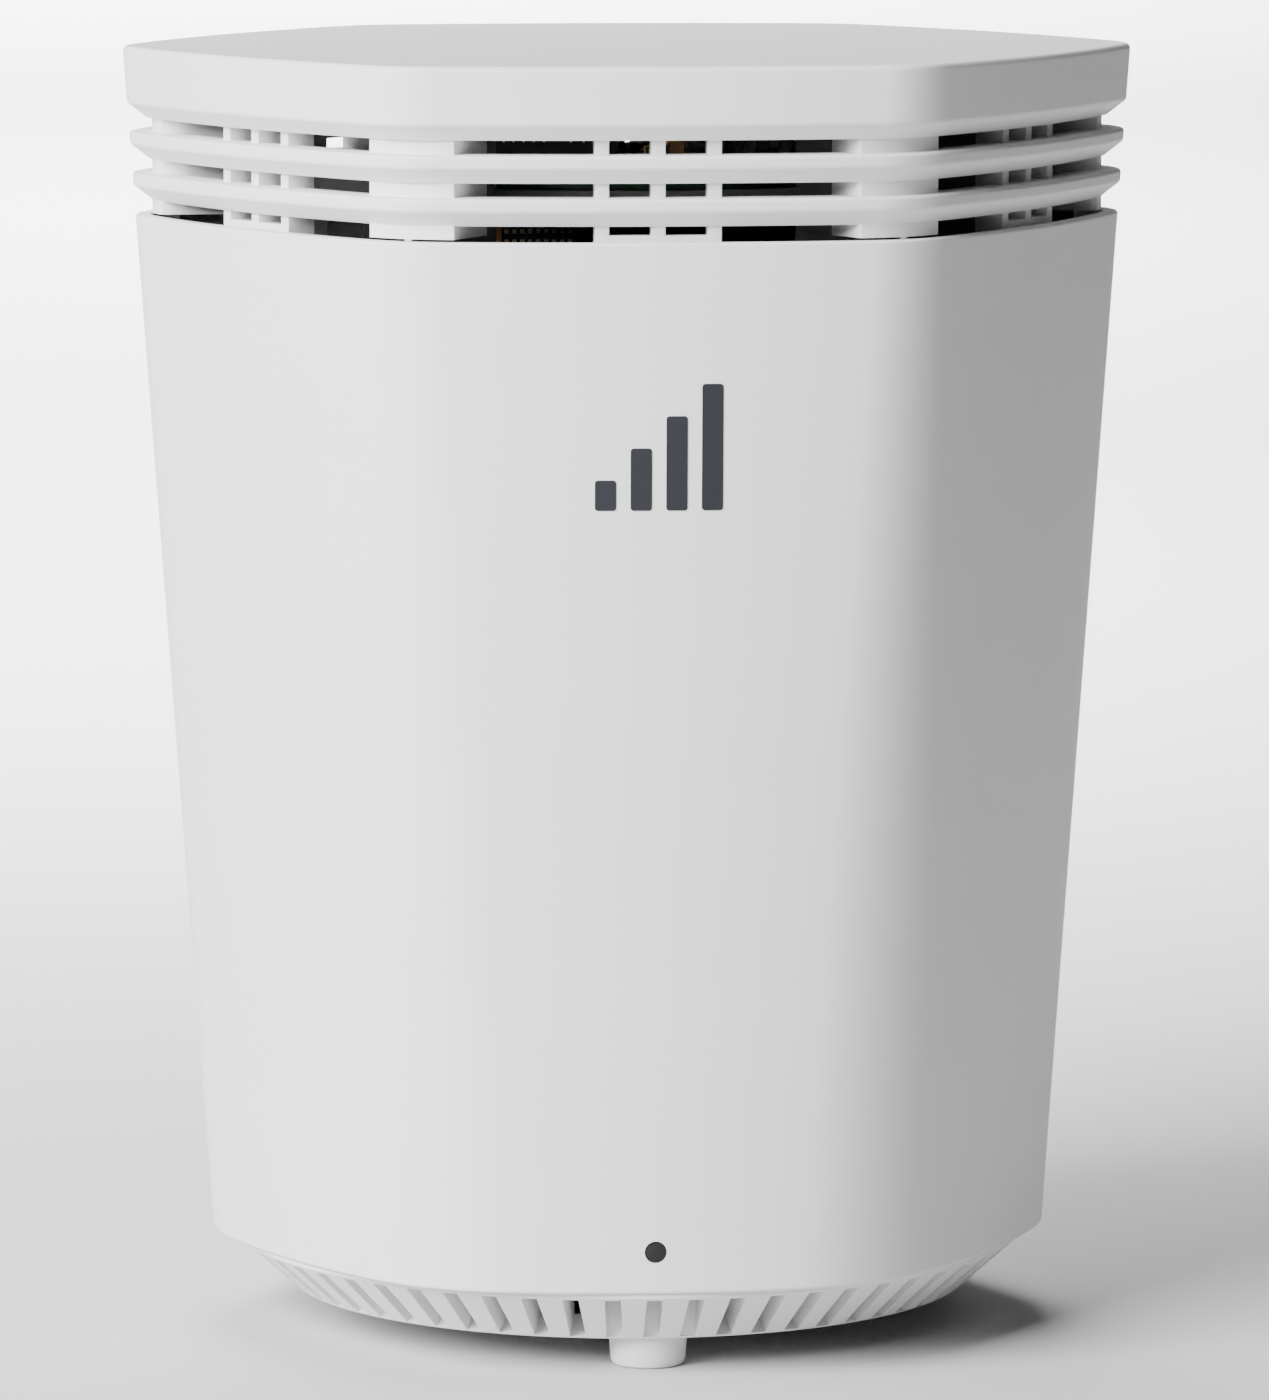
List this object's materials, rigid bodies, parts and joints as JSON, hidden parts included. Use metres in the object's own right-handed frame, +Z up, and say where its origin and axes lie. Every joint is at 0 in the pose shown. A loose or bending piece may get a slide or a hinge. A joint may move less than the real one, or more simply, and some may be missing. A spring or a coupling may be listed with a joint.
{
  "type": "wireless gateway",
  "caption": "Tapered six-sided tower gateway with louvred vents under a flat lid, a notched intake base, an inner cooling fan and rear sockets.",
  "frame": {"origin": "middle of the footprint, on the surface that the three feet stand on", "axes": "+Z up through the lid, -Y the front side with the indicator, +Y the back side with the sockets"},
  "size_m": [0.1538, 0.1422, 0.1955],
  "materials": {
    "cover_white": "fine moulded texture, satin",
    "inner_grey": "moulded, satin",
    "foot_white": "soft matt",
    "steel": "zinc plated",
    "tinplate": "tin plated sheet",
    "board_black": "black solder mask on glass laminate",
    "board_green": "green solder mask on glass laminate",
    "black_plastic": "moulded, matt",
    "smoked_lens": "polished smoked window",
    "led": "clear resin",
    "print_slate": "pad printed ink",
    "aluminium": "extruded",
    "thermal_pad": "soft silicone",
    "chip": "moulded epoxy",
    "brass": "gold flash",
    "copper": "enamelled winding",
    "coax": "thin jacket"
  },
  "bodies": {
    "housing": {"top_cover": "cover_white", "body_shell": "cover_white", "base_ring": "cover_white", "foot_front": "foot_white", "foot_right": "foot_white", "foot_left": "foot_white", "base_screws": "steel", "indicator_lens": "smoked_lens", "indicator_led": "led", "led_board": "board_green", "front_mark": "print_slate", "chassis": "inner_grey", "main_board": "board_green", "main_board_screws": "steel", "processor": "chip", "thermal_pad": "thermal_pad", "heat_sink": "aluminium", "shield_cans": "tinplate", "board_connector": "black_plastic", "radio_board": "board_green", "radio_screws": "steel", "radio_shields": "tinplate", "contact_springs": "brass", "antenna_board_front": "board_black", "antenna_board_right": "board_black", "antenna_board_left": "board_black", "antenna_board_rear": "board_black", "antenna_leads": "coax", "lead_connectors": "brass", "fan_frame": "black_plastic", "fan_bearing": "brass", "fan_stator": "copper", "fan_screws": "steel", "port_board": "board_green", "port_board_screws": "steel", "port_panel": "cover_white", "network_jack_1": "steel", "network_jack_2": "steel", "power_inlet": "black_plastic", "button_board": "board_green", "pair_switch": "black_plastic", "reset_switch": "black_plastic"},
    "fan_rotor": {"fan_rotor": "black_plastic", "fan_shaft": "steel"},
    "pair_button": {"pair_button": "inner_grey"},
    "reset_button": {"reset_button": "black_plastic"}
  },
  "joints": [
    {"name": "fan_spin", "type": "hinge", "parent": "housing", "child": "fan_rotor", "pos_m": [0, -0.005, 0.024], "axis": [0, 0, 1], "continuous": true},
    {"name": "pair_press", "type": "slide", "parent": "housing", "child": "pair_button", "axis": [0, -1, 0], "range_m": [0, 0.001], "stiffness_N_per_m": 1500, "springref_m": -0.0005},
    {"name": "reset_press", "type": "slide", "parent": "housing", "child": "reset_button", "axis": [0, -1, 0], "range_m": [0, 0.0006], "stiffness_N_per_m": 2500, "springref_m": -0.0004}
  ]
}
